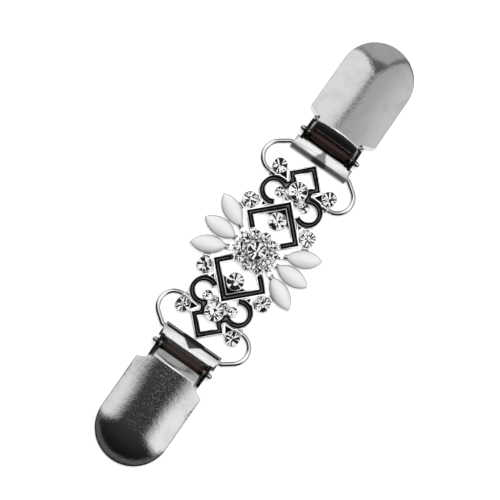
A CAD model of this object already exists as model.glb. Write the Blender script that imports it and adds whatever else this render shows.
"""Dresses the sweater clip: its casting, enamel, stones, wire loops and two lever clips.

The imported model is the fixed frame. Sizes in the classes are millimetres, and MM turns them into metres.
"""

import logging
import math
import random
from dataclasses import dataclass, field
from enum import Enum
from typing import Callable, Sequence

import bmesh
import bpy
from mathutils import Matrix, Vector
from mathutils.bvhtree import BVHTree
from mathutils.geometry import delaunay_2d_cdt


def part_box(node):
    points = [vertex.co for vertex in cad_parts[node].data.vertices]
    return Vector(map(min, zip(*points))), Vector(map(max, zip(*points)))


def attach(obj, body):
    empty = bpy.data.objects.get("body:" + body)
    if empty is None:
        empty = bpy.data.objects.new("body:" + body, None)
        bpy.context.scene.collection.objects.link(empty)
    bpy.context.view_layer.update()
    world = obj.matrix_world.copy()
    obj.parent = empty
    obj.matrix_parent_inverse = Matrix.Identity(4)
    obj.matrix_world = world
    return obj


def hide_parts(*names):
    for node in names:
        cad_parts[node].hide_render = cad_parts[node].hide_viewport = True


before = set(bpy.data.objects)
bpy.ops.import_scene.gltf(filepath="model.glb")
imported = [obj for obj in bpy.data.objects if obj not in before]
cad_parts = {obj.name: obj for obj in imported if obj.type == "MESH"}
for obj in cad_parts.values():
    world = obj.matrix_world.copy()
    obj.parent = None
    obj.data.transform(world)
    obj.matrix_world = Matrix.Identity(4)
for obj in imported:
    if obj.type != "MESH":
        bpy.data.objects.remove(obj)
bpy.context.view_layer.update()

MM = 0.001
LOG = logging.getLogger("sweater_clip")
PIN_AXIS = (33.694, 3.6)
Point = tuple[float, float, float]
Color = tuple[float, float, float, float]
Form = bmesh.types.BMesh
Face = bmesh.types.BMFace


class Half(Enum):
    """A half of the piece; the value is the sign of its axis."""

    @property
    def word(self) -> str:
        """Returns the half's word in the names of the nodes."""
        return self.name.lower()


class Side(Half):
    """The halves along X."""

    RIGHT = 1
    LEFT = -1


class Row(Half):
    """The halves along Y."""

    UPPER = 1
    LOWER = -1


ENDS = [side.word for side in Side]
QUARTERS = [f"{side.word}_{row.word}" for side in Side for row in Row]


def joining(operation: str) -> Callable[["Value", object], "Value"]:
    """Returns a method that joins a value to another one through a Math node."""
    return lambda first, second: first.graph.math(operation, first, second)


class Value:
    """What a shader node gives: a number, a vector or a colour. Arithmetic with it adds nodes."""

    __add__ = joining("ADD")
    __sub__ = joining("SUBTRACT")
    __mul__ = joining("MULTIPLY")
    __truediv__ = joining("DIVIDE")
    larger = joining("MAXIMUM")

    def __init__(self, graph: "Graph", socket: bpy.types.NodeSocket) -> None:
        """Keeps the graph and the node's socket."""
        self.graph = graph
        self.socket = socket

    def __abs__(self) -> "Value":
        """Returns the number without its sign."""
        return self.graph.math("ABSOLUTE", self)

    def ramp(self, low: float, high: float, start: float = 0.0, end: float = 1.0) -> "Value":
        """Returns a smooth step of a number.

        Args:
            low: The number where the step starts.
            high: The number where the step ends.
            start: What comes out below the step.
            end: What comes out above it.

        Returns:
            The step.
        """
        inputs = {0: self, 1: low, 2: high, 3: start, 4: end}
        return self.graph.read("MapRange", inputs, interpolation_type="SMOOTHSTEP")

    def fade(self, low: float, high: float) -> "Value":
        """Returns a smooth step down from 1 to 0."""
        return self.ramp(low, high, 1.0, 0.0)

    def band(self, start: float, full: float, last: float, gone: float) -> "Value":
        """Returns 1 between two soft edges and 0 outside them."""
        return self.ramp(start, full) * self.fade(last, gone)

    def noise(self, scale: object, detail: float = 2.0, roughness: float = 0.5) -> "Value":
        """Returns a noise from 0 to 1 at a place."""
        inputs = {"Vector": self, "Scale": scale, "Detail": detail, "Roughness": roughness}
        return self.graph.read("TexNoise", inputs)

    def stretch(self, x: float, y: float, z: float) -> "Value":
        """Returns a place with each of its coordinates multiplied."""
        return self.graph.read("VectorMath", {0: self, 1: (x, y, z)}, operation="MULTIPLY")

    def parts(self) -> list["Value"]:
        """Returns the three coordinates of a place."""
        return [Value(self.graph, socket) for socket in self.graph.add("SeparateXYZ", {0: self}).outputs]

    def as_grey(self) -> "Value":
        """Returns a number as a grey colour."""
        return self.graph.read("CombineColor", dict.fromkeys(range(3), self))


class Graph:
    """A shader node tree with short calls that add and join nodes."""

    def __init__(self, tree: bpy.types.NodeTree) -> None:
        """Wraps a tree and empties it."""
        self.tree = tree
        tree.nodes.clear()

    def feed(self, socket: bpy.types.NodeSocket, value: object) -> None:
        """Joins a value to an input, or sets the input's plain value."""
        if isinstance(value, Value):
            self.tree.links.new(value.socket, socket)
        else:
            socket.default_value = value

    def add(self, kind: str, inputs: dict | None = None, **settings: object) -> bpy.types.Node:
        """Adds a node.

        Args:
            kind: The node's type name without the leading ShaderNode.
            inputs: Values by input name or index.
            **settings: Properties of the node.

        Returns:
            The new node.
        """
        node = self.tree.nodes.new("ShaderNode" + kind)
        for name, value in settings.items():
            setattr(node, name, value)
        for name, value in (inputs or {}).items():
            self.feed(node.inputs[name], value)
        return node

    def read(self, kind: str, inputs: dict | None = None, output: int | str = 0,
             **settings: object) -> Value:
        """Adds a node as add() does and returns one of its outputs."""
        return Value(self, self.add(kind, inputs, **settings).outputs[output])

    def math(self, operation: str, *values: object) -> Value:
        """Adds a Math node and returns its result."""
        return self.read("Math", dict(enumerate(values)), operation=operation)

    def blend(self, factor: object, first: object, second: object) -> Value:
        """Returns a number between two numbers."""
        return self.read("Mix", {0: factor, 2: first, 3: second}, data_type="FLOAT")

    def mix(self, factor: object, first: object, second: object) -> Value:
        """Returns a colour between two colours."""
        return self.read("Mix", {0: factor, 6: first, 7: second}, 2, data_type="RGBA")

    def place(self) -> Value:
        """Returns the place on the object in metres."""
        return self.read("TexCoord", output="Object")

    def painted(self, name: str) -> Value:
        """Returns a number that the mesh carries under a name."""
        return self.read("Attribute", output="Fac", attribute_name=name)

    def bump(self, height: Value, depth: float, **over: Value) -> Value:
        """Returns the normal of a relief, whose depth is in millimetres, over another Normal if given."""
        return self.read("Bump", {"Height": height, "Distance": depth * MM, "Strength": 1.0, **over})

    def effect(self, tree: bpy.types.NodeTree, place: Value, **values: float) -> dict[str, Value]:
        """Adds a shared effect.

        Args:
            tree: The effect's node group.
            place: The place on the object.
            **values: The group's other inputs by name.

        Returns:
            The effect's outputs by name.
        """
        node = self.add("Group", {"Place": place, **values}, node_tree=tree)
        return {socket.name: Value(self, socket) for socket in node.outputs}


def grey(value: float) -> Color:
    """Returns an opaque grey colour."""
    return (value, value, value, 1.0)


def group(name: str, inputs: dict[str, float],
          build: Callable[..., dict[str, Value]]) -> bpy.types.NodeTree:
    """Makes a shader node group.

    Args:
        name: The group's name.
        inputs: Usual values of the number inputs by name; a vector input named Place is always added.
        build: Adds the nodes, from the inputs by their names in small letters to the outputs by name.

    Returns:
        The group.
    """
    tree = bpy.data.node_groups.new(name, "ShaderNodeTree")
    tree.interface.new_socket("Place", in_out="INPUT", socket_type="NodeSocketVector")
    for key, value in inputs.items():
        tree.interface.new_socket(key, in_out="INPUT", socket_type="NodeSocketFloat").default_value = value
    graph = Graph(tree)
    source = tree.nodes.new("NodeGroupInput")
    given = {socket.name.lower(): Value(graph, socket) for socket in source.outputs if socket.name}
    results = build(**given)
    for key in results:
        tree.interface.new_socket(key, in_out="OUTPUT", socket_type="NodeSocketFloat")
    target = tree.nodes.new("NodeGroupOutput")
    for key, value in results.items():
        graph.feed(target.inputs[key], value)
    return tree


def fine_grain(place: Value, scale: Value, lumps: Value) -> dict[str, Value]:
    """Builds fine grain over soft lumps, as on plated or pressed metal.

    Args:
        place: The place on the object.
        scale: The scale of the grain.
        lumps: The scale of the lumps.

    Returns:
        The relief, and the mask of the higher grain.
    """
    fine = place.noise(scale, 3.0, 0.6)
    return {"Height": fine * 0.45 + place.noise(lumps) * 0.55, "Mask": fine.ramp(0.42, 0.62)}


def hair_scratches(place: Value, scale: Value, turn: Value) -> dict[str, Value]:
    """Builds hair scratches in two directions, each a noise drawn out along one way.

    Args:
        place: The place on the object.
        scale: The scale of the scratches.
        turn: The angle of the first direction in radians.

    Returns:
        The relief, and the mask of the scratches.
    """
    lines = []
    for further, length in ((0.0, 42.0), (1.9, 30.0)):
        spun = place.graph.read("VectorRotate", {"Vector": place, "Angle": turn + further},
                                rotation_type="Z_AXIS")
        lines.append(spun.stretch(1.0, length, 1.0).noise(scale, 1.0, 0.4).ramp(0.66, 0.74))
    both = lines[0].larger(lines[1])
    return {"Height": place.graph.math("SUBTRACT", 1.0, both), "Mask": both}


def dull_patches(place: Value, scale: Value, amount: Value) -> dict[str, Value]:
    """Builds soft uneven patches of dulled metal."""
    return {"Mask": place.noise(scale, 4.0, 0.6).ramp(0.45, 0.7) * amount}


class Effects:
    """The surface effects that several finishes share, each a node group that is built once."""

    def __init__(self) -> None:
        """Builds the groups."""
        self.grain = group("FineGrain", {"Scale": 3000.0, "Lumps": 600.0}, fine_grain)
        self.scratches = group("FineScratches", {"Scale": 250.0, "Turn": 0.5}, hair_scratches)
        self.tarnish = group("Tarnish", {"Scale": 180.0, "Amount": 0.5}, dull_patches)


@dataclass(frozen=True)
class Finish:
    """A finish of the piece. Each kind works out the inputs of its shader in paint()."""

    name: str

    def paint(self, graph: Graph, effects: Effects) -> dict[str, object]:
        """Works out the finish.

        Args:
            graph: The material's graph.
            effects: The shared effects.

        Returns:
            The inputs of the Principled shader by name.
        """
        raise NotImplementedError

    def material(self, effects: Effects) -> bpy.types.Material:
        """Builds the finish's material.

        Args:
            effects: The shared effects.

        Returns:
            The material.
        """
        material = bpy.data.materials.new(self.name)
        material.use_nodes = True
        graph = Graph(material.node_tree)
        graph.add("OutputMaterial", {"Surface": graph.read("BsdfPrincipled", self.paint(graph, effects))})
        return material


@dataclass(frozen=True)
class Stain:
    """A dark mark on a curl: half lengths in millimetres, raggedness, and how dark it and its bars are."""

    along: float
    across: float
    ragged: float
    dark: float
    bars: float


@dataclass(frozen=True)
class PolishedMetal(Finish):
    """A plated metal with grain, hair scratches, dull patches, and dirt in its crevices."""

    color: Color
    dull_color: Color
    roughness: float
    grain_scale: float
    lump_scale: float
    grain_depth: float
    scratch_depth: float
    crevice: float = 0.0
    speckled_r: float = 0.0
    stains: tuple[Stain, ...] = ()
    stain_x: float = 28.4
    satin_x: tuple[float, float] = (28.9, 29.6)

    def paint(self, graph: Graph, effects: Effects) -> dict[str, object]:
        """Works out the worn, plated metal."""
        place = graph.place()
        grain = graph.effect(effects.grain, place, Scale=self.grain_scale, Lumps=self.lump_scale)
        scratches = graph.effect(effects.scratches, place)
        dull = graph.effect(effects.tarnish, place, Scale=260.0, Amount=0.6)["Mask"]
        if self.crevice:
            hidden = graph.read("AmbientOcclusion", {"Distance": self.crevice * MM}, "AO", samples=6)
            hidden = hidden.fade(0.08, 0.5)
            if self.speckled_r:
                hidden = hidden * self.speckles(place)
            dull = (dull * 0.15).larger(hidden)
        worn = grain["Mask"] * 0.35 + scratches["Mask"] * min(0.5, 250.0 * self.scratch_depth)
        rough = worn.ramp(0.0, 1.0, self.roughness, self.roughness + 0.16)
        if self.stains:
            dull = dull.larger(self.stain_mask(place))
            satin = abs(place.parts()[0]).ramp(self.satin_x[0] * MM, self.satin_x[1] * MM, 0.5, 0.0)
            rough = rough.larger(satin)
        lumpy = graph.bump(grain["Height"], self.grain_depth)
        normal = graph.bump(scratches["Height"], self.scratch_depth, Normal=lumpy)
        return {"Base Color": graph.mix(dull, self.color, self.dull_color), "Metallic": 1.0,
                "Roughness": rough, "Normal": normal}

    def speckles(self, place: Value) -> Value:
        """Returns the share of the crevices' dirt: whole outside the flower, and specks within it."""
        level = place.stretch(1.0, 1.0, 0.0)
        reach = place.graph.read("VectorMath", {0: level}, "Value", operation="LENGTH")
        specks = place.noise(1500.0).ramp(0.54, 0.6)
        inside = reach.fade(self.speckled_r * MM, (self.speckled_r + 1.0) * MM)
        return place.graph.blend(inside, 1.0, specks)

    def stain_mask(self, place: Value) -> Value:
        """Works out the dark marks on the curls: a patch or smudge on each, and worn bars on one.

        Args:
            place: The place on the object.

        Returns:
            The mask of the marks.
        """
        graph = place.graph
        x, y, _ = place.parts()
        far, aside = abs(x), abs(y)
        right = x.ramp(-1.0 * MM, 1.0 * MM)

        def either(size: str, unit: float = 1.0) -> Value:
            """Returns a size of the left curl's mark on the left, and of the right one's on the right."""
            return graph.blend(right, *(getattr(stain, size) * unit for stain in self.stains))

        reach = abs(far - self.stain_x * MM) / either("along", MM) + aside / either("across", MM)
        reach = reach + (place.noise(3000.0, 2.0, 0.6) - 0.5) * either("ragged")
        bars = far.band(*((self.stain_x + edge) * MM for edge in (0.0, 0.1, 0.6, 0.7)))
        bars = bars * aside.fade(7.9 * MM, 8.2 * MM) * either("bars")
        return (reach.fade(0.74, 0.92) * either("dark")).larger(bars)


@dataclass(frozen=True)
class Enamel(Finish):
    """Black enamel that is glossy along the middle of a field, with a few pits and a soft orange peel."""

    color: Color = (0.0015, 0.0015, 0.0018, 1.0)
    roughness: float = 0.3
    gloss_roughness: float = 0.08

    def paint(self, graph: Graph, effects: Effects) -> dict[str, object]:
        """Works out the enamel."""
        place = graph.place()
        peel = graph.bump(graph.effect(effects.grain, place, Scale=2600.0, Lumps=900.0)["Height"], 0.004)
        dust = place.noise(5200.0, 1.0).ramp(0.74, 0.79)
        gloss = graph.painted("sheen") * place.noise(420.0).ramp(0.3, 0.6, 0.35, 1.0)
        return {"Base Color": graph.mix(dust, self.color, grey(0.04)), "Specular IOR Level": 0.015,
                "Roughness": self.roughness, "Coat Weight": gloss, "Coat Roughness": self.gloss_roughness,
                "Coat IOR": 1.95, "Normal": peel, "Coat Normal": peel}


@dataclass(frozen=True)
class CatsEye(Finish):
    """Milky fibre glass with a faint bright line along the stone."""

    milk: Color = (0.88, 0.885, 0.88, 1.0)
    edge: Color = (0.8, 0.805, 0.8, 1.0)

    def paint(self, graph: Graph, effects: Effects) -> dict[str, object]:
        """Works out the stone."""
        place = graph.place()
        across = graph.read("UVMap", uv_map="stone").parts()[0]
        rim = (abs(across * 2.0 - 1.0) + place.noise(500.0, 3.0) * 0.25).ramp(0.55, 1.12)
        streak = abs(across - 0.44).ramp(0.0, 0.16, 0.5, 0.0)
        clouds = graph.effect(effects.grain, place, Scale=900.0, Lumps=260.0)["Mask"]
        return {"Base Color": graph.mix(streak, graph.mix(rim, self.milk, self.edge), grey(0.95)),
                "Roughness": clouds.ramp(0.0, 1.0, 0.1, 0.2), "IOR": 1.5, "Subsurface Weight": 0.35,
                "Subsurface Radius": (0.9 * MM, 0.9 * MM, 0.9 * MM), "Subsurface Scale": 1.0}


@dataclass(frozen=True)
class CutGlass(Finish):
    """Clear crown glass of the cut stones, with faint wear on its facets."""

    color: Color = (0.98, 0.985, 0.99, 1.0)

    def paint(self, graph: Graph, effects: Effects) -> dict[str, object]:
        """Works out the glass."""
        wear = graph.effect(effects.scratches, graph.place(), Scale=400.0)["Mask"]
        return {"Base Color": graph.mix(wear, self.color, grey(0.9)), "Transmission Weight": 1.0,
                "Roughness": wear.ramp(0.0, 1.0, 0.0, 0.08), "IOR": 1.28}


@dataclass(frozen=True)
class Foil(Finish):
    """Back of the cut stones: bright foil facets, and dark ones where they turn from the light."""

    glow: float = 0.45

    def paint(self, graph: Graph, effects: Effects) -> dict[str, object]:
        """Works out the foil."""
        worn = graph.effect(effects.tarnish, graph.place(), Scale=900.0, Amount=0.35)["Mask"]
        facet = graph.painted("facet")
        bright = graph.mix(worn, grey(0.98), grey(0.6))
        return {"Base Color": graph.mix(facet, grey(0.002), bright), "Metallic": 0.15,
                "Roughness": worn.ramp(0.0, 1.0, 0.3, 0.45), "Emission Strength": 1.0,
                "Emission Color": (facet.ramp(0.3, 1.0) * self.glow).as_grey()}


@dataclass(frozen=True)
class Rubber(Finish):
    """Dark brown hard rubber, dusty and lightly pitted."""

    color: Color = (0.02, 0.009, 0.008, 1.0)
    dust: Color = (0.11, 0.08, 0.075, 1.0)

    def paint(self, graph: Graph, effects: Effects) -> dict[str, object]:
        """Works out the rubber."""
        place = graph.place()
        grain = graph.effect(effects.grain, place, Scale=4200.0, Lumps=700.0)
        flecks = place.noise(2600.0).ramp(0.66, 0.76, 0.0, 0.8)
        return {"Base Color": graph.mix(flecks, self.color, self.dust),
                "Roughness": grain["Mask"].ramp(0.0, 1.0, 0.32, 0.5),
                "Normal": graph.bump(grain["Height"], 0.03)}


@dataclass(frozen=True)
class PaleFloor(Finish):
    """The matt floor, with a little light of its own."""

    def paint(self, graph: Graph, effects: Effects) -> dict[str, object]:
        """Works out the floor."""
        return {"Base Color": grey(0.9), "Roughness": 0.9,
                "Emission Color": grey(1.0), "Emission Strength": 0.5}


class Finishes:
    """Every material of the scene, built once."""

    def __init__(self) -> None:
        """Builds the shared effects and the materials."""
        effects = Effects()
        marks = (Stain(2.9, 4.2, 0.16, 0.96, 0.97), Stain(4.6, 2.7, 0.8, 0.75, 0.0))
        finishes = {
            "silver": PolishedMetal(
                "silver_casting", (0.97, 0.965, 0.955, 1.0), (0.1, 0.095, 0.09, 1.0), 0.07, 2600.0, 700.0,
                0.006, 0.0015, crevice=0.5, speckled_r=6.8),
            "wire": PolishedMetal(
                "silver_wire", (0.95, 0.945, 0.935, 1.0), (0.6, 0.58, 0.55, 1.0), 0.06, 2200.0, 500.0,
                0.004, 0.002),
            "sheet": PolishedMetal(
                "worn_sheet_steel", (0.64, 0.64, 0.63, 1.0), (0.02, 0.019, 0.018, 1.0), 0.14, 3400.0, 900.0,
                0.02, 0.0012, crevice=0.5, stains=marks),
            "cover": PolishedMetal(
                "pressed_cover_steel", (0.78, 0.78, 0.77, 1.0), (0.66, 0.66, 0.65, 1.0), 0.1, 2000.0, 900.0,
                0.045, 0.0004),
            "edge": PolishedMetal(
                "blackened_steel", (0.045, 0.043, 0.04, 1.0), (0.015, 0.014, 0.013, 1.0), 0.3, 3400.0, 900.0,
                0.01, 0.002),
            "pin": PolishedMetal(
                "worn_pin_steel", (0.8, 0.8, 0.79, 1.0), (0.03, 0.028, 0.026, 1.0), 0.12, 3400.0, 900.0,
                0.01, 0.002, crevice=0.9),
            "enamel": Enamel("black_enamel_gloss"),
            "cats_eye": CatsEye("white_cats_eye"),
            "glass": CutGlass("crown_glass"),
            "foil": Foil("stone_foil"),
            "rubber": Rubber("brown_rubber"),
            "floor": PaleFloor("pale_floor"),
        }
        self.materials = {key: finish.material(effects) for key, finish in finishes.items()}

    def pick(self, *keys: str) -> list[bpy.types.Material]:
        """Returns the materials of some finishes."""
        return [self.materials[key] for key in keys]


def new_object(name: str, data: bpy.types.ID) -> bpy.types.Object:
    """Adds an object to the scene."""
    added = bpy.data.objects.new(name, data)
    bpy.context.scene.collection.objects.link(added)
    return added


def add_piece(form: Form, name: str, body: str, slot: str, materials: Sequence[bpy.types.Material],
              replaces: str = "", crease: float = 180.0) -> None:
    """Turns a form into a piece of the object, smooth except across its sharp edges.

    Args:
        form: The form, in metres in the row frame. It is freed.
        name: The piece's name.
        body: The moving body that it rides on.
        slot: The record's material slot that it takes its finish from.
        materials: Its materials in the order of its faces' indices.
        replaces: The CAD node that it stands for, if any.
        crease: The angle in degrees above which an edge stays sharp. With 0 every face is flat.
    """
    if crease:
        for face in form.faces:
            face.smooth = True
        for edge in form.edges:
            edge.smooth = len(edge.link_faces) == 2 and edge.calc_face_angle(0.0) < math.radians(crease)
    mesh = bpy.data.meshes.new(name)
    form.to_mesh(mesh)
    form.free()
    for material in materials:
        mesh.materials.append(material)
    piece = new_object(name, mesh)
    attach(piece, body)
    if replaces:
        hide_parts(replaces)
    LOG.info("%s: %d faces on %s", name, len(mesh.polygons), body)


def cad_copy(node: str) -> Form:
    """Copies a CAD node's mesh with its doubled points joined.

    Args:
        node: The CAD node.

    Returns:
        A new form in metres.
    """
    form = bmesh.new()
    form.from_mesh(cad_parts[node].data)
    bmesh.ops.remove_doubles(form, verts=form.verts, dist=0.0005 * MM)
    form.normal_update()
    return form


def flat_regions(form: Form, lowest: float, upright: float = 0.999) -> list[list[Face]]:
    """Finds the connected flat regions that face up.

    Args:
        form: The form.
        lowest: Only faces whose middle is above this height in metres count.
        upright: The least Z of a face's normal.

    Returns:
        One list of faces for each region.
    """
    level = [f for f in form.faces if f.normal.z > upright and f.calc_center_median().z > lowest]
    left = set(level)
    regions = []
    for start in level:
        if start not in left:
            continue
        left.remove(start)
        region, open_faces = [start], [start]
        while open_faces:
            for other in (f for edge in open_faces.pop().edges for f in edge.link_faces):
                if other in left and other.normal.dot(start.normal) > 0.99999:
                    left.remove(other)
                    region.append(other)
                    open_faces.append(other)
        regions.append(sorted(region, key=lambda f: f.index))
    return regions


def rim_edges(faces: Sequence[Face]) -> list[bmesh.types.BMEdge]:
    """Returns the edges that bound a region of faces."""
    members = set(faces)
    return [e for f in faces for e in f.edges if sum(other in members for other in e.link_faces) == 1]


def region_width(faces: Sequence[Face]) -> float:
    """Returns a region's area over half its outline's length, about its width where it is a band."""
    outline = sum(e.calc_length() for e in rim_edges(faces))
    return 2.0 * sum(f.calc_area() for f in faces) / max(outline, 1e-9)


def sweep(path: Sequence[Vector], radius: float, sides: int) -> Form:
    """Sweeps a round section along a level path.

    Args:
        path: The middle line's points, all at one height, in metres.
        radius: The section's radius in metres.
        sides: The number of sides.

    Returns:
        The tube, with flat ends.
    """
    form = bmesh.new()
    up = Vector((0.0, 0.0, 1.0))
    rings = []
    for i, point in enumerate(path):
        ahead = path[min(i + 1, len(path) - 1)] - path[max(i - 1, 0)]
        out = ahead.normalized().cross(up)
        rings.append([form.verts.new(point + radius * (math.cos(a) * out + math.sin(a) * up))
                      for a in (2 * math.pi * k / sides for k in range(sides))])
    for first, second in zip(rings, rings[1:]):
        for k in range(sides):
            form.faces.new((first[k], first[(k + 1) % sides], second[(k + 1) % sides], second[k]))
    form.faces.new(rings[0])
    form.faces.new(rings[-1][::-1])
    bmesh.ops.recalc_face_normals(form, faces=form.faces)
    return form


def arc(center: tuple[float, float], radius: float, start: float, end: float,
        steps: int) -> list[tuple[float, float]]:
    """Returns points on an arc, with angles in degrees."""
    turns = [math.radians(start + (end - start) * i / steps) for i in range(steps + 1)]
    return [(center[0] + radius * math.cos(t), center[1] + radius * math.sin(t)) for t in turns]


def shift(x: float, y: float, z: float) -> Matrix:
    """Returns a move by some millimetres."""
    return Matrix.Translation((x * MM, y * MM, z * MM))


def spin(degrees: float, axis: str) -> Matrix:
    """Returns a turn about an axis."""
    return Matrix.Rotation(math.radians(degrees), 4, axis)


def add_blob(form: Form, place: Matrix, size: Point, detail: int = 12) -> None:
    """Adds a stretched ball.

    Args:
        form: The form that takes it.
        place: Its place and turn.
        size: Its half lengths in millimetres.
        detail: The number of its segments round.
    """
    shape = Matrix.Diagonal((*(s * MM for s in size), 1.0))
    bmesh.ops.create_uvsphere(form, u_segments=detail, v_segments=max(6, detail * 2 // 3), radius=1.0,
                              matrix=place @ shape)


@dataclass
class Seat:
    """Where a cut stone sits: its girdle's middle, its diameter in millimetres, and turns in radians."""

    node: str
    center: Point
    diameter: float
    turn: float
    around: float = 0.0
    lean: float = 0.0

    def matrix(self) -> Matrix:
        """Returns the seat's frame, with Z out of the stone's table."""
        leaning = Matrix.Rotation(self.around, 4, "Z") @ Matrix.Rotation(self.lean, 4, "Y")
        return shift(*self.center) @ leaning


@dataclass
class Casting:
    """The brooch's silver: the pierced plate with its cups and bezels, grains, claws and solder."""

    finishes: Finishes
    rim_width: float = 0.09
    rim_rise: float = 0.06
    least_rim: float = 0.02
    rim_floor: float = 1.6
    claw_lean: float = 20.0
    wide_stone: float = 2.6
    grain_place: Point = (16.2, 1.56, 2.0)
    grain_size: Point = (0.6, 0.6, 0.42)
    solder_place: Point = (19.8, 8.25, 1.75)
    solder_size: Point = (1.0, 1.25, 0.62)

    def add_silver(self, form: Form, name: str, **more: object) -> None:
        """Adds a form as a piece of the brooch's silver."""
        add_piece(form, name, "brooch", "silver_metal", self.finishes.pick("silver"), **more)

    def dress_plate(self) -> None:
        """Copies the plate and rounds the top of every rim, cup and bezel."""
        form = cad_copy("brooch_frame")
        for region in flat_regions(form, self.rim_floor * MM, 0.9):
            width = min(self.rim_width, 0.3 * region_width(region) / MM)
            if width >= self.least_rim:
                bmesh.ops.inset_region(form, faces=region, thickness=width * MM, use_even_offset=True,
                                       depth=self.rim_rise * MM * width / self.rim_width)
        self.add_silver(form, "brooch_casting", replaces="brooch_frame", crease=52.0)

    def add_claws(self, seats: Sequence[Seat]) -> None:
        """Sets small claws round the cut stones.

        Args:
            seats: Where the stones sit.
        """
        form = bmesh.new()
        for seat in seats:
            claws = 4 if seat.diameter > self.wide_stone else 3
            size = 0.11 + 0.035 * seat.diameter
            for i in range(claws):
                turn = Matrix.Rotation(2 * math.pi * (i + 0.5) / claws + seat.turn, 4, "Z")
                spot = shift(seat.diameter / 2 + 0.02, 0, 0.16) @ spin(-self.claw_lean, "Y")
                add_blob(form, seat.matrix() @ turn @ spot, (size * 1.25, size * 0.8, size))
        self.add_silver(form, "stone_claws")

    def add_grains(self) -> None:
        """Adds the silver grains of the hearts and the solder where the wire meets the plate."""
        form = bmesh.new()
        for side in Side:
            for row in Row:
                flip = Matrix.Diagonal((side.value, row.value, 1, 1))
                add_blob(form, flip @ shift(*self.grain_place), self.grain_size, 16)
                add_blob(form, flip @ shift(*self.solder_place), self.solder_size, 20)
        bmesh.ops.recalc_face_normals(form, faces=form.faces)
        self.add_silver(form, "silver_grains")

    def build(self, seats: Sequence[Seat]) -> None:
        """Builds all of the casting's pieces.

        Args:
            seats: Where the stones sit.
        """
        self.dress_plate()
        self.add_claws(seats)
        self.add_grains()


@dataclass
class WireLoop:
    """The bent wire at each end of the brooch."""

    finishes: Finishes
    radius: float = 0.675
    sides: int = 28
    height: float = 1.47
    bar_x: float = 29.294
    bar_half: float = 8.75
    bend_r: float = 1.4
    bow: tuple[float, float] = (24.0, 9.3)
    bow_r: float = 4.2
    root_y: float = 8.1

    def half_path(self) -> list[tuple[float, float]]:
        """Returns the wire's middle line from the plate to the middle of the bar."""
        bend = (self.bar_x - self.bend_r, self.bar_half)
        gap = (bend[0] - self.bow[0], bend[1] - self.bow[1])
        lean = math.atan2(gap[1], gap[0]) + math.acos((self.bow_r - self.bend_r) / math.hypot(*gap))
        lean = math.degrees(lean)
        path = [(self.bow[0] - self.bow_r, self.root_y)]
        path += arc(self.bow, self.bow_r, 180, lean, 40)
        path += arc(bend, self.bend_r, lean, 0, 12)
        path.append((self.bar_x, self.bar_half * 0.5))
        return path

    def build(self) -> None:
        """Sweeps both loops."""
        half = self.half_path()
        whole = half + [(x, -y) for x, y in reversed(half)]
        for side in Side:
            path = [Vector((side.value * x * MM, y * MM, self.height * MM)) for x, y in whole]
            add_piece(sweep(path, self.radius * MM, self.sides), f"wire_loop_{side.word}", "brooch",
                      "silver_metal", self.finishes.pick("wire"), crease=32.0)


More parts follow.
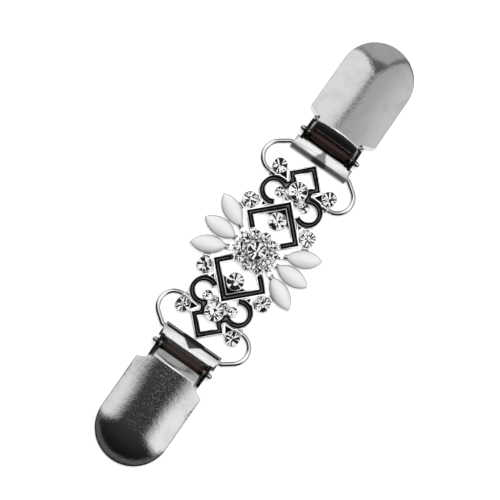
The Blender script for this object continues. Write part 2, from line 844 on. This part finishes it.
class Relief:
    """A flat field of a CAD mesh, made again with points that know how far they lie from its outline."""

    def __init__(self, faces: Sequence[Face], steps: Sequence[float], spacing: float) -> None:
        """Fills the field with points along its outline.

        Args:
            faces: The field's faces, all at one height.
            steps: Distances in metres from the outline at which rows of points lie.
            spacing: The greatest distance in metres between points of a row.
        """
        rim = rim_edges(faces)
        spots, floors = [], []
        for face in faces:
            floors.append(tuple(range(len(spots), len(spots) + len(face.verts))))
            spots += [(*v.co.xy, 0.0) for v in face.verts]
        self.room = BVHTree.FromPolygons(spots, floors)
        walls = [(*e.verts[i].co.xy, z) for e in rim for i, z in ((0, -1), (1, -1), (1, 1), (0, 1))]
        self.wall = BVHTree.FromPolygons(walls, [tuple(range(i, i + 4)) for i in range(0, len(walls), 4)])
        points: list[Vector] = []
        edges: list[tuple[int, int]] = []
        known: dict[tuple[int, int], int] = {}
        inner: dict[tuple[int, int], Vector] = {}
        for edge in rim:
            a, b = (v.co.xy for v in edge.verts)
            count = max(1, math.ceil((b - a).length / spacing))
            row = []
            for i in range(count + 1):
                spot = a.lerp(b, i / count)
                key = (round(spot.x * 1e8), round(spot.y * 1e8))
                if key not in known:
                    known[key] = len(points)
                    points.append(spot)
                row.append(known[key])
            edges += list(zip(row, row[1:]))
            side = Vector((a.y - b.y, b.x - a.x)).normalized()
            for step in steps:
                for i in range(count):
                    for sign in (-1, 1):
                        spot = a.lerp(b, (i + 0.5) / count) + sign * step * side
                        if self.distance(spot) > 0.97 * step and self.inside(spot):
                            inner.setdefault(tuple(round(c / spacing * 1.6) for c in spot), spot)
        self.points, _, triangles = delaunay_2d_cdt(points + list(inner.values()), edges, [], 0, 1e-9)[:3]
        self.triangles = [t for t in triangles
                          if self.inside(sum((self.points[i] for i in t), Vector((0, 0))) / 3)]
        self.depths = [self.distance(point) for point in self.points]

    def inside(self, spot: Vector) -> bool:
        """Tells whether a place is inside the field."""
        return self.room.ray_cast(Vector((*spot, 1.0)), Vector((0, 0, -1)))[0] is not None

    def distance(self, spot: Vector) -> float:
        """Returns a place's distance from the outline in metres."""
        return self.wall.find_nearest(Vector((*spot, 0.0)))[3]

    def solid(self, top: Callable[[float], float], low: float, sheen: Callable[[float], float]) -> Form:
        """Makes a closed form from the field.

        Args:
            top: The height of the top in metres, from a distance from the outline.
            low: The height of the flat underside in metres.
            sheen: The gloss from 0 to 1, from a distance from the outline.

        Returns:
            The form, with the gloss under the name sheen.
        """
        form = bmesh.new()
        layer = form.verts.layers.float.new("sheen")
        upper = [form.verts.new((*p, top(d))) for p, d in zip(self.points, self.depths)]
        under = [form.verts.new((*p, low)) for p in self.points]
        for vert, depth in zip(upper, self.depths):
            vert[layer] = sheen(depth)
        for a, b, c in self.triangles:
            form.faces.new((upper[a], upper[b], upper[c]))
            form.faces.new((under[c], under[b], under[a]))
        sides = dict.fromkeys(pair for a, b, c in self.triangles for pair in ((a, b), (b, c), (c, a)))
        for a, b in sides:
            if (b, a) not in sides:
                form.faces.new((upper[b], upper[a], under[a], under[b]))
        bmesh.ops.delete(form, geom=[v for v in form.verts if not v.link_faces], context="VERTS")
        bmesh.ops.recalc_face_normals(form, faces=form.faces)
        return form


@dataclass
class EnamelFields:
    """The black enamel, dished along its silver lines and polished along its middle.

    Each kind has its name, its places, and the distance of its gloss from the outline, or 0 for none.
    """

    finishes: Finishes
    meniscus: float = 0.07
    reach: float = 0.16
    crown: float = 0.05
    depth: float = 0.4
    spacing: float = 0.16
    rows: tuple[float, ...] = (0.05, 0.11, 0.18, 0.26, 0.35, 0.45, 0.56, 0.7, 0.85, 1.05, 1.3, 1.6)
    kinds: tuple[tuple[str, Sequence[str], float], ...] = (
        ("square", ENDS, 0.64), ("heart", ENDS, 0.59), ("corner", ENDS, 0.0),
        ("triangle", QUARTERS, 0.0), ("web", QUARTERS, 0.0))

    def dress(self, node: str, middle: float) -> None:
        """Makes one field again with a soft relief.

        Args:
            node: The field's CAD node.
            middle: The distance in metres from its outline where its gloss is full, or 0.
        """
        form = cad_copy(node)
        top = max(v.co.z for v in form.verts)
        faces = flat_regions(form, top - 0.01 * MM)[0]
        relief = Relief(faces, [r * MM for r in self.rows], self.spacing * MM)
        form.free()

        def height(distance: float) -> float:
            """Returns the height of the dished top."""
            return top - (self.meniscus + self.crown) * MM * math.exp(-distance / (self.reach * MM))

        def sheen(distance: float) -> float:
            """Returns the gloss, which rises smoothly towards the middle."""
            if not middle:
                return 0.03
            share = min(max((distance / middle - 0.72) / 0.28, 0.0), 1.0)
            return 0.01 + 0.99 * share * share * (3 - 2 * share)

        filled = relief.solid(height, top - self.depth * MM, sheen)
        add_piece(filled, node + "_fill", "brooch", "black_enamel", self.finishes.pick("enamel"), node, 50.0)

    def build(self) -> None:
        """Dresses every field."""
        for kind, places, middle in self.kinds:
            for place in places:
                self.dress(f"enamel_{kind}_{place}", middle * MM)


@dataclass
class CutStones:
    """The foil-backed cut stones. Shares are of the diameter; kite and main, of the radius and height."""

    finishes: Finishes
    depth_share: float = 0.3
    crown_share: float = 0.16
    table_share: float = 0.54
    girdle_share: float = 0.02
    kite: tuple[float, float] = (0.79, 0.58)
    main: tuple[float, float] = (0.42, 0.62)
    large: float = 3.0
    ring_count: int = 10
    ring_r: float = 4.45
    ring_z: float = 3.9
    ring_d: float = 2.35
    ring_lean: float = 18.0
    girdle_drop: float = 0.2
    seed: int = 7
    seats: list[Seat] = field(default_factory=list)

    def find_seats(self) -> list[Seat]:
        """Reads the places of the stones from the frame.

        Returns:
            One seat for each stone.
        """
        dice = random.Random(self.seed)
        names = [f"{kind}_stone_{end}" for kind in ("heart", "square") for end in ENDS]
        names += [f"{kind}_stone_{quarter}" for kind in ("side", "outer", "lobe") for quarter in QUARTERS]
        for name in names + ["flower_stone"]:
            low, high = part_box(name)
            diameter = (high.x - low.x) / MM
            middle = (low + high) / 2 / MM
            center = (middle.x, middle.y, low.z / MM + diameter * self.depth_share)
            self.seats.append(Seat(name, center, diameter, dice.uniform(0, math.pi / 4)))
        lean = math.radians(self.ring_lean)
        out = self.ring_r - self.girdle_drop * math.sin(lean)
        height = self.ring_z - self.girdle_drop * math.cos(lean)
        for i in range(self.ring_count):
            around = 2 * math.pi * i / self.ring_count
            center = (out * math.cos(around), out * math.sin(around), height)
            self.seats.append(Seat(f"ring_stone_{i + 1}", center, self.ring_d, dice.uniform(0, math.pi / 4),
                                   around, lean))
        return self.seats

    def brilliant(self, diameter: float, dice: random.Random) -> Form:
        """Makes a brilliant with a table, crown and pavilion facets; its girdle is at z = 0.

        Args:
            diameter: The stone's diameter in millimetres.
            dice: Chooses the dark facets.

        Returns:
            The stone in metres, with the pavilion's faces in the second material slot.
        """
        r = diameter / 2
        cuts = 13 if diameter > self.large else 9
        crown, depth, girdle = (diameter * s for s in (self.crown_share, self.depth_share, self.girdle_share))
        form = bmesh.new()

        def ring(count: int, radius: float, z: float, turned: float = 0.0) -> list[bmesh.types.BMVert]:
            """Adds a ring of points, turned by a share of its step."""
            turns = [2 * math.pi * (i + turned) / count for i in range(count)]
            spots = [(radius * math.cos(t) * MM, radius * math.sin(t) * MM, z * MM) for t in turns]
            return [form.verts.new(spot) for spot in spots]

        table = ring(cuts, r * self.table_share, crown)
        kites = ring(cuts, r * self.kite[0], crown * self.kite[1], 0.5)
        upper = ring(2 * cuts, r * 0.995, girdle / 2)
        lower = ring(2 * cuts, r * 0.995, -girdle / 2)
        mains = ring(cuts, r * self.main[0], -depth * self.main[1], 0.5)
        culet = form.verts.new((0, 0, -depth * 0.98 * MM))
        form.faces.new(table)
        layer = form.faces.layers.float.new("facet")
        back = []
        for i in range(cuts):
            first, middle, last = 2 * i, 2 * i + 1, (2 * i + 2) % (2 * cuts)
            form.faces.new((table[(i + 1) % cuts], table[i], kites[i]))
            form.faces.new((table[i], kites[i - 1], upper[first], kites[i]))
            form.faces.new((kites[i], upper[first], upper[middle]))
            form.faces.new((kites[i], upper[middle], upper[last]))
            for a, b in ((first, middle), (middle, last)):
                form.faces.new((upper[a], lower[a], lower[b], upper[b]))
            bright_chances = (0.12 if dice.random() < 0.8 else 1.0, 0.65, 0.5, 0.38)
            facets = ((mains[i], lower[middle], lower[first]), (mains[i], lower[last], lower[middle]),
                      (mains[i], lower[first], mains[i - 1]), (culet, mains[i], mains[i - 1]))
            for corners, chance in zip(facets, bright_chances):
                face = form.faces.new(corners)
                face[layer] = float(dice.random() < chance)
                back.append(face)
        bmesh.ops.recalc_face_normals(form, faces=form.faces)
        for face in back:
            face.material_index = 1
        return form

    def build(self) -> None:
        """Makes every stone."""
        dice = random.Random(self.seed + 1)
        for seat in self.seats:
            form = self.brilliant(seat.diameter, dice)
            place = seat.matrix() @ Matrix.Rotation(seat.turn, 4, "Z")
            bmesh.ops.transform(form, matrix=place, verts=form.verts)
            add_piece(form, seat.node + "_cut", "brooch", "cut_glass", self.finishes.pick("glass", "foil"),
                      seat.node, 0.0)


@dataclass
class LongStones:
    """The six pointed cat's-eye stones with their tip claws."""

    finishes: Finishes
    length: float = 9.5
    width: float = 4.5
    dome: float = 2.0
    rim_z: float = 2.15
    sunk: float = 0.8
    turn: float = 27.5
    steps: int = 48
    round_steps: int = 24
    small_claw: float = 0.55
    large_claw: float = 0.95

    def half_width(self, along: float) -> float:
        """Returns half the outline's width at a place along the stone, from -1 to 1."""
        l, w = self.length / 2, self.width / 2
        r = (l * l + w * w) / (2 * w)
        return max(math.sqrt(max(r * r - (along * l) ** 2, 0.0)) - r + w, 0.0)

    def stone(self, name: str, place: Matrix) -> None:
        """Makes one domed stone with its own map of across and along.

        Args:
            name: The CAD node that it stands for.
            place: Its place, in metres.
        """
        form = bmesh.new()
        layer = form.loops.layers.uv.new("stone")
        rings = []
        for i in range(1, self.steps):
            along = -math.cos(math.pi * i / self.steps)
            half = self.half_width(along)
            rise = self.dome * (half / (self.width / 2)) ** 0.85
            angles = [math.pi * (1 - j / self.round_steps) for j in range(self.round_steps + 1)]
            ring = [(half * math.cos(angle), rise * math.sin(angle) ** 0.9) for angle in angles]
            ring = [(-half, -self.sunk)] + ring + [(half, -self.sunk)]
            rings.append([form.verts.new((x * MM, along * self.length / 2 * MM, z * MM)) for x, z in ring])
        tips = [[form.verts.new((0, end * self.length / 2 * MM, z * MM)) for z in (0.0, -self.sunk)]
                for end in (-1, 1)]
        for first, second in zip(rings, rings[1:]):
            for j in range(len(first)):
                k = (j + 1) % len(first)
                form.faces.new((first[j], second[j], second[k], first[k]))
        for ring, tip in ((rings[0], tips[0]), (rings[-1], tips[1])):
            for a, b in zip(ring[1:-1], ring[2:-1]):
                form.faces.new((a, b, tip[0]))
            form.faces.new((ring[0], ring[1], tip[0], tip[1]))
            form.faces.new((ring[-2], ring[-1], tip[1], tip[0]))
            form.faces.new((ring[-1], ring[0], tip[1]))
        bmesh.ops.recalc_face_normals(form, faces=form.faces)
        for loop in (loop for face in form.faces for loop in face.loops):
            spot = loop.vert.co
            loop[layer].uv = (spot.x / (self.width * MM) + 0.5, spot.y / (self.length * MM) + 0.5)
        bmesh.ops.transform(form, matrix=place, verts=form.verts)
        add_piece(form, name + "_dome", "brooch", "white_stone", self.finishes.pick("cats_eye"), name, 60.0)

    def build(self) -> None:
        """Makes the six stones and the claws over their inner tips."""
        claws = bmesh.new()
        for kind, turn in (("inner", 0.0), ("right", -self.turn), ("left", self.turn)):
            for row in Row:
                name = f"long_stone_{kind}_{row.word}"
                low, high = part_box(name)
                middle = (low + high) / 2
                spot = Matrix.Translation((middle.x, middle.y, self.rim_z * MM))
                place = spot @ spin(row.value * turn, "Z")
                self.stone(name, place)
                size = self.small_claw if kind == "inner" else self.large_claw
                tip = shift(0, -row.value * (self.length / 2 - size * 0.45), 0.1)
                add_blob(claws, place @ tip, (size * 0.72, size, 0.42), 16)
        bmesh.ops.recalc_face_normals(claws, faces=claws.faces)
        add_piece(claws, "tip_claws", "brooch", "silver_metal", self.finishes.pick("silver"))


@dataclass
class PressedCover:
    """The vaulted cover of a lever clip with its round nose, shoulders, neck and cheeks.

    Its skin is worked out along the crown's spine, which falls away from the neck at the slope.
    """

    finishes: Finishes
    neck_x: float = 36.994
    crown_z: float = 7.0
    slope: float = 5.0
    vault_r: float = 18.0
    neck_vault_r: float = 22.0
    neck_run: float = 11.0
    half: float = 10.1
    neck_half: float = 6.45
    neck_len: float = 1.3
    shoulder_len: float = 1.9
    run: float = 18.9
    strip_len: float = 2.1
    strip_drop: float = 1.3
    strip_r: float = 30.0
    soft: float = 0.6
    lip: float = 0.3
    floor: float = 1.05
    sheet: float = 0.75
    edge_r: float = 0.16
    hem: float = 0.16
    cheek_r: float = 1.9
    cheek_end: tuple[tuple[float, float], ...] = ((38.2, 4.15), (35.2, 4.7))
    hole_r: float = 0.76
    black_x: float = 36.394
    rings: int = 26
    inner_rings: int = 12
    edge_steps: int = 8
    neck_stations: tuple[float, ...] = (
        -2.1, -2.085, -2.05, -2.0, -1.9, -1.8, -1.6, -1.3, -1.0, -0.85, -0.7, -0.6, -0.5, -0.4, -0.3, -0.2,
        -0.1, 0.0, 0.1, 0.2, 0.3, 0.4, 0.5, 0.6, 0.7, 0.85, 1.05)

    def stations(self) -> list[Point]:
        """Returns the outline of one side as places along, out and along the crown's spine."""
        found = [(a, self.neck_half, a) for a in self.neck_stations]
        for share in (i / 8 for i in range(9)):
            a = self.neck_len + share * self.shoulder_len
            found.append((a, self.neck_half + share * (self.half - self.neck_half), a))
        start = self.neck_len + self.shoulder_len
        for i in range(1, 17):
            a = start + (self.run - start) * i / 16
            found.append((a, self.half, a))
        return found + [(x, y, self.run) for x, y in arc((self.run, 0.0), self.half, 90, 0, 36)[1:]]

    def outer(self, a: float, reach: float) -> float:
        """Works out the outer skin's height over the crown line.

        Args:
            a: The place along the spine.
            reach: The distance out from it.

        Returns:
            The height, which is below the line.
        """
        lean = math.atan(self.strip_drop / self.strip_len) + math.radians(self.slope)
        share = min(max(a / self.neck_run, 0.0), 1.0)
        radius = self.neck_vault_r + (self.vault_r - self.neck_vault_r) * share * share * (3 - 2 * share)
        vault = math.sqrt(radius ** 2 - reach ** 2) - radius
        strip = (math.sqrt(self.strip_r ** 2 - reach ** 2) - self.strip_r) / math.cos(lean)
        strip = math.tan(lean) * a + strip
        blend = max(self.soft - abs(vault - strip), 0.0) / self.soft
        inset = max(self.lip - self.strip_len - a, 0.0)
        fall = self.lip - math.sqrt(self.lip ** 2 - min(inset, self.lip) ** 2)
        return min(vault, strip) - blend * blend * self.soft / 4 - fall

    def section(self, a: float, out: float, spine: float) -> list[Vector]:
        """Works out a section of the sheet from the spine out, down the wall and back inside.

        Args:
            a: The outline's place along.
            out: The outline's place out.
            spine: The place along the spine where the section starts.

        Returns:
            The section's points in the row frame, in metres.
        """
        reach = math.hypot(a - spine, out)
        way = Vector(((a - spine) / reach, out / reach))
        at = a if spine == a else self.run
        flat = reach - self.edge_r
        points = [(d, self.outer(at, d)) for d in (flat * i / self.rings for i in range(self.rings + 1))]
        edge = points[-1][1]
        fall = (self.outer(at, flat - 0.05) - edge) / 0.05
        for i in range(1, self.edge_steps + 1):
            turn = math.radians(90 * i / self.edge_steps)
            points.append((flat + self.edge_r * math.sin(turn),
                           edge - self.edge_r * (1 - math.cos(turn)) - fall * self.edge_r * math.sin(turn)))
        low, hem, inner = self.bottom(a), self.hem, reach - self.sheet
        points += [(reach, (points[-1][1] + low) / 2), (reach, low + hem),
                   (reach - 0.3 * hem, low + 0.3 * hem), (reach - hem, low), (inner + hem, low),
                   (inner, low + hem), (inner, edge - self.sheet - 0.5)]
        front = self.lip - self.strip_len
        sheet = self.sheet * (1.1 if at < front else 1.0)
        for d in ((inner - 0.5) * i / self.inner_rings for i in range(self.inner_rings, -1, -1)):
            points.append((d, self.outer(max(at, front), d) - sheet))
        return [self.to_row(spine + way.x * d, way.y * d, c) for d, c in points]

    def bottom(self, a: float) -> float:
        """Returns the lower edge's height in the crown's frame."""
        slope = math.radians(self.slope)
        return (self.floor - self.crown_z + a * math.sin(slope)) / math.cos(slope)

    def to_row(self, a: float, b: float, c: float) -> Vector:
        """Turns a place in the crown's frame into the row frame, in metres."""
        slope = math.radians(self.slope)
        x = self.neck_x + a * math.cos(slope) + c * math.sin(slope)
        z = self.crown_z - a * math.sin(slope) + c * math.cos(slope)
        return Vector((max(x, self.neck_x - self.strip_len), b, max(z, self.floor))) * MM

    def skin(self) -> Form:
        """Builds the sheet of the cover as one closed form."""
        form = bmesh.new()
        rows = [self.section(*station) for station in self.stations()]
        count = self.inner_rings
        for mirror in (1, -1):
            verts = [[form.verts.new((p.x, p.y * mirror, p.z)) for p in row] for row in rows]
            for first, second in zip(verts, verts[1:]):
                for j in range(len(first) - 1):
                    form.faces.new((first[j], first[j + 1], second[j + 1], second[j])[::mirror])
            start = verts[0]
            inner_side = start[-count - 1:][::-1]
            outer_side = start[:self.rings + 1:2]
            for j in range(count):
                corners = (outer_side[j], inner_side[j], inner_side[j + 1], outer_side[j + 1])
                form.faces.new(corners[::mirror])
            form.faces.new((start[self.rings:-count - 1] + [inner_side[count]])[::mirror])
        bmesh.ops.remove_doubles(form, verts=form.verts, dist=0.002 * MM)
        bmesh.ops.dissolve_degenerate(form, edges=form.edges, dist=0.0005 * MM)
        bmesh.ops.recalc_face_normals(form, faces=form.faces)
        return form

    def add_cheeks(self, form: Form) -> None:
        """Adds the two cheeks that hold the pin.

        Args:
            form: The cover's skin.
        """
        low = self.floor + 0.02
        outline = arc(PIN_AXIS, self.cheek_r, 60, 290, 30)
        outline += [(self.neck_x - self.strip_len, low), (self.cheek_end[0][0], low), *self.cheek_end]
        hole = arc(PIN_AXIS, self.hole_r, 0, 345, 23)
        side_y = self.neck_half - 0.01
        skin = set(form.faces)
        for mirror in (1, -1):
            edges = []
            for loop in (outline, hole):
                verts = [form.verts.new((x * MM, mirror * side_y * MM, z * MM)) for x, z in loop]
                edges += [form.edges.new(pair) for pair in zip(verts, verts[1:] + verts[:1])]
            filled = bmesh.ops.triangle_fill(form, edges=edges, use_beauty=True)["geom"]
            faces = [g for g in filled if isinstance(g, Face)]
            extruded = bmesh.ops.extrude_face_region(form, geom=faces, use_keep_orig=True)["geom"]
            moved = [g for g in extruded if isinstance(g, bmesh.types.BMVert)]
            bmesh.ops.translate(form, verts=moved, vec=(0, -mirror * (self.sheet - 0.02) * MM, 0))
        bmesh.ops.recalc_face_normals(form, faces=form.faces)
        for face in form.faces:
            if face not in skin and face.calc_center_median().x < self.black_x * MM:
                face.material_index = 1

    def build(self, side: Side) -> None:
        """Builds the cover of one clip.

        Args:
            side: The clip's side.
        """
        form = self.skin()
        self.add_cheeks(form)
        if side is Side.LEFT:
            turned = Matrix.Rotation(math.pi, 3, "Z")
            bmesh.ops.rotate(form, cent=(0, 0, 0), matrix=turned, verts=form.verts)
        add_piece(form, f"pressed_cover_{side.word}", f"cover_{side.word}", "cover_steel",
                  self.finishes.pick("cover", "edge"), f"clip_cover_{side.word}", 40.0)


@dataclass
class LeverClip:
    """The base, pin and pad of a lever clip."""

    finishes: Finishes
    base_bevel: float = 0.1
    pin_bevel: float = 0.05
    pad_bevel: float = 0.12
    sharp: float = 35.0
    ear_low: float = 0.9
    ear_in: float = 6.9
    ear_x: tuple[float, float] = (31.2, 37.5)
    head_y: float = 7.9
    head_share: float = 0.8

    def eased(self, node: str, bevel: float) -> Form:
        """Copies a CAD node and eases its sharp edges.

        Args:
            node: The CAD node.
            bevel: The width of the eased edges.

        Returns:
            A new form in metres.
        """
        form = cad_copy(node)
        bmesh.ops.dissolve_limit(form, angle_limit=math.radians(0.3), verts=form.verts, edges=form.edges)
        limit = math.radians(self.sharp)
        edges = [e for e in form.edges if len(e.link_faces) == 2 and e.calc_face_angle(0.0) > limit]
        bmesh.ops.bevel(form, geom=edges, offset=bevel * MM, segments=3, profile=0.5, affect="EDGES",
                        clamp_overlap=True)
        return form

    def build(self, side: Side) -> None:
        """Builds the base with its blackened ears, the pin with its small heads, and the pad.

        Args:
            side: The clip's side.
        """
        end = side.word
        base = self.eased(f"clip_base_{end}", self.base_bevel)
        for face in base.faces:
            spot = face.calc_center_median() / MM
            beside = abs(spot.y) > self.ear_in and self.ear_x[0] < abs(spot.x) < self.ear_x[1]
            face.material_index = int(spot.z > self.ear_low and beside)
        pin = self.eased(f"clip_pin_{end}", self.pin_bevel)
        x, z = side.value * PIN_AXIS[0] * MM, PIN_AXIS[1] * MM
        for spot in (vert.co for vert in pin.verts if abs(vert.co.y) > self.head_y * MM):
            spot.x = x + (spot.x - x) * self.head_share
            spot.z = z + (spot.z - z) * self.head_share
        pad = self.eased(f"jaw_pad_{end}", self.pad_bevel)
        for form, name, body, slot, keys, node in (
            (base, "curled_base", "clip", "clip_steel", ("sheet", "edge"), "clip_base"),
            (pin, "hinge_pin", "clip", "pin_steel", ("pin",), "clip_pin"),
            (pad, "rubber_pad", "cover", "jaw_rubber", ("rubber",), "jaw_pad"),
        ):
            materials = self.finishes.pick(*keys)
            add_piece(form, f"{name}_{end}", f"{body}_{end}", slot, materials, f"{node}_{end}", 30.0)


@dataclass
class Studio:
    """The pale floor, the soft light round the piece and the camera."""

    finishes: Finishes
    distance: float = 600.0
    tilt: float = 6.0
    roll: float = -55.08
    pixels_per_mm: float = 3.8398
    image_size: float = 500.0
    offset: tuple[float, float] = (6.16, 1.78)
    aim_z: float = 2.0
    sensor: float = 36.0
    lamp_size: tuple[float, float] = (0.16, 0.2)
    lamp_power: float = 1.4
    lamp_height: float = 0.5
    lamp_lean: float = 7.0
    panel_light: float = 1.5
    tent_turn: float = 6.5
    fork: float = 21.3

    def add_floor(self) -> None:
        """Lays the floor."""
        mesh = bpy.data.meshes.new("floor")
        mesh.from_pydata([(-3, -2, 0), (3, -2, 0), (3, 4, 0), (-3, 4, 0)], [], [(0, 1, 2, 3)])
        mesh.materials.append(*self.finishes.pick("floor"))
        floor = new_object("floor", mesh)
        floor.visible_glossy = False

    def add_lamp(self) -> None:
        """Hangs the softbox over the piece."""
        light = bpy.data.lights.new("softbox", "AREA")
        light.shape = "RECTANGLE"
        light.size, light.size_y = self.lamp_size
        light.energy = self.lamp_power
        lamp = new_object("softbox", light)
        lamp.visible_glossy = False
        lamp.matrix_world = spin(self.lamp_lean, "Y") @ Matrix.Translation((0, 0, self.lamp_height))

    def paint_tent(self) -> None:
        """Builds the world: bright cloth, a forked dark seam, an opening, a dark skirt and a bright panel.

        Directions are in degrees: along from the zenith towards +X, across out of that plane towards +Y,
        and height above the horizon.
        """
        world = bpy.data.worlds.new("light_tent")
        bpy.context.scene.world = world
        world.use_nodes = True
        graph = Graph(world.node_tree)
        x, y, z = graph.read("TexCoord", output="Generated").parts()
        degrees = 180 / math.pi
        along = graph.math("ARCTAN2", x, z) * degrees
        across = graph.math("ARCSINE", y) * degrees
        height = graph.math("ARCSINE", z) * degrees
        lowered = along.band(34.0, 44.0, 88.0, 90.0) * 11.0
        skirt_edge = (height + lowered).ramp(12.0, 20.0)
        light = graph.blend(skirt_edge, 0.03, self.cloth(graph, along, across))
        light = self.add_fork(graph, along, across, light)
        light = self.add_opening(graph, along, across, light)
        strip = height.band(15.0, 17.0, 24.0, 27.0) * along.fade(-30.0, -20.0)
        light = graph.blend(strip, light, 0.12)
        panel = abs(across).fade(9.0, 14.0) * along.band(0.3, 2.3, 12.5, 14.5)
        light = graph.blend(panel, light, self.panel_light)
        light = graph.blend(z.fade(-0.64, -0.5), light, 0.9)
        seen = graph.read("LightPath", output="Is Camera Ray")
        sky = graph.read("Background", {"Color": graph.blend(seen, light, 1.0).as_grey(), "Strength": 1.0})
        graph.add("OutputWorld", {"Surface": sky})

    def cloth(self, graph: Graph, along: Value, across: Value) -> Value:
        """Works out the cloth's brightness, which is less on one side beyond the panel.

        Args:
            graph: The world's graph.
            along: The direction along.
            across: The direction across.

        Returns:
            The brightness.
        """
        shade = graph.blend(along.ramp(4.0, 14.0), 0.98, across.ramp(-55.0, -5.0, 0.66, 0.44))
        return graph.blend(across.ramp(2.0, 12.0), shade, across.ramp(5.0, 30.0, 0.7, 0.88))

    def add_fork(self, graph: Graph, along: Value, across: Value, light: Value) -> Value:
        """Adds a dark seam that forks into two branches with grey cloth between them.

        Args:
            graph: The world's graph.
            along: The direction along.
            across: The direction across.
            light: The brightness so far.

        Returns:
            The brightness with the seam.
        """
        out = across - self.tent_turn
        ahead = along - self.fork
        first = (out - ahead * 0.85) / 1.31
        second = (out + ahead * 0.38) / 1.07
        beyond = ahead.ramp(-1.0, 1.0)
        between = first.fade(-1.0, 1.0) * second.ramp(-1.0, 1.0) * beyond
        light = graph.blend(between, light, 0.42)
        lines = abs(first).fade(1.0, 4.5).larger(abs(second).fade(1.0, 4.5)) * beyond
        stem = abs(out).fade(2.0, 7.5) * ahead.ramp(-2.5, 0.5, 0.35, 0.8)
        stem = stem * (ahead.ramp(-6.5, -3.0) - beyond)
        dark = lines.larger(between * ahead.fade(22.0, 29.0)).larger(stem)
        return graph.blend(dark * 0.85, light, 0.06)

    def add_opening(self, graph: Graph, along: Value, across: Value, light: Value) -> Value:
        """Adds the dark opening, which widens towards the horizon.

        Args:
            graph: The world's graph.
            along: The direction along.
            across: The direction across.
            light: The brightness so far.

        Returns:
            The brightness with the opening.
        """
        past = graph.math("SUBTRACT", -8.0, along).larger(0.0)
        rim = abs(across - 0.5 * self.tent_turn) - past
        opening = along.fade(-4.0, -0.5) * rim.fade(18.0, 43.0)
        return graph.blend(opening, light, along.ramp(-70.0, -8.0, 0.004, 0.035))

    def add_camera(self) -> None:
        """Sets the camera almost overhead, rolled so that the piece lies on the slant."""
        tilt, roll = math.radians(self.tilt), math.radians(self.roll)
        out = Vector((-math.sin(tilt), 0, math.cos(tilt)))
        level = Vector((math.cos(tilt), 0, math.sin(tilt)))
        right = math.cos(roll) * level + math.sin(roll) * out.cross(level)
        up = out.cross(right)
        aside = (-self.offset[0] * right + self.offset[1] * up) / self.pixels_per_mm
        place = (Vector((0, 0, self.aim_z)) + aside + out * self.distance) * MM
        camera = bpy.data.cameras.new("camera")
        camera.sensor_width = self.sensor
        camera.lens = self.pixels_per_mm * self.distance / self.image_size * self.sensor
        camera.clip_end = 20.0
        eye = new_object("camera", camera)
        eye.matrix_world = Matrix.Translation(place) @ Matrix((right, up, out)).transposed().to_4x4()
        bpy.context.scene.camera = eye

    def build(self) -> None:
        """Builds the whole studio."""
        self.add_camera()
        self.add_floor()
        self.add_lamp()
        self.paint_tent()
        bpy.context.scene.view_settings.view_transform = "Standard"


def main() -> None:
    """Builds the studio and every piece."""
    logging.basicConfig(level=logging.INFO, format="%(message)s")
    finishes = Finishes()
    Studio(finishes).build()
    stones = CutStones(finishes)
    seats = stones.find_seats()
    Casting(finishes).build(seats)
    WireLoop(finishes).build()
    EnamelFields(finishes).build()
    stones.build()
    LongStones(finishes).build()
    for side in Side:
        LeverClip(finishes).build(side)
        PressedCover(finishes).build(side)
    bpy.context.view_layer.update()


if __name__ == "__main__":
    main()
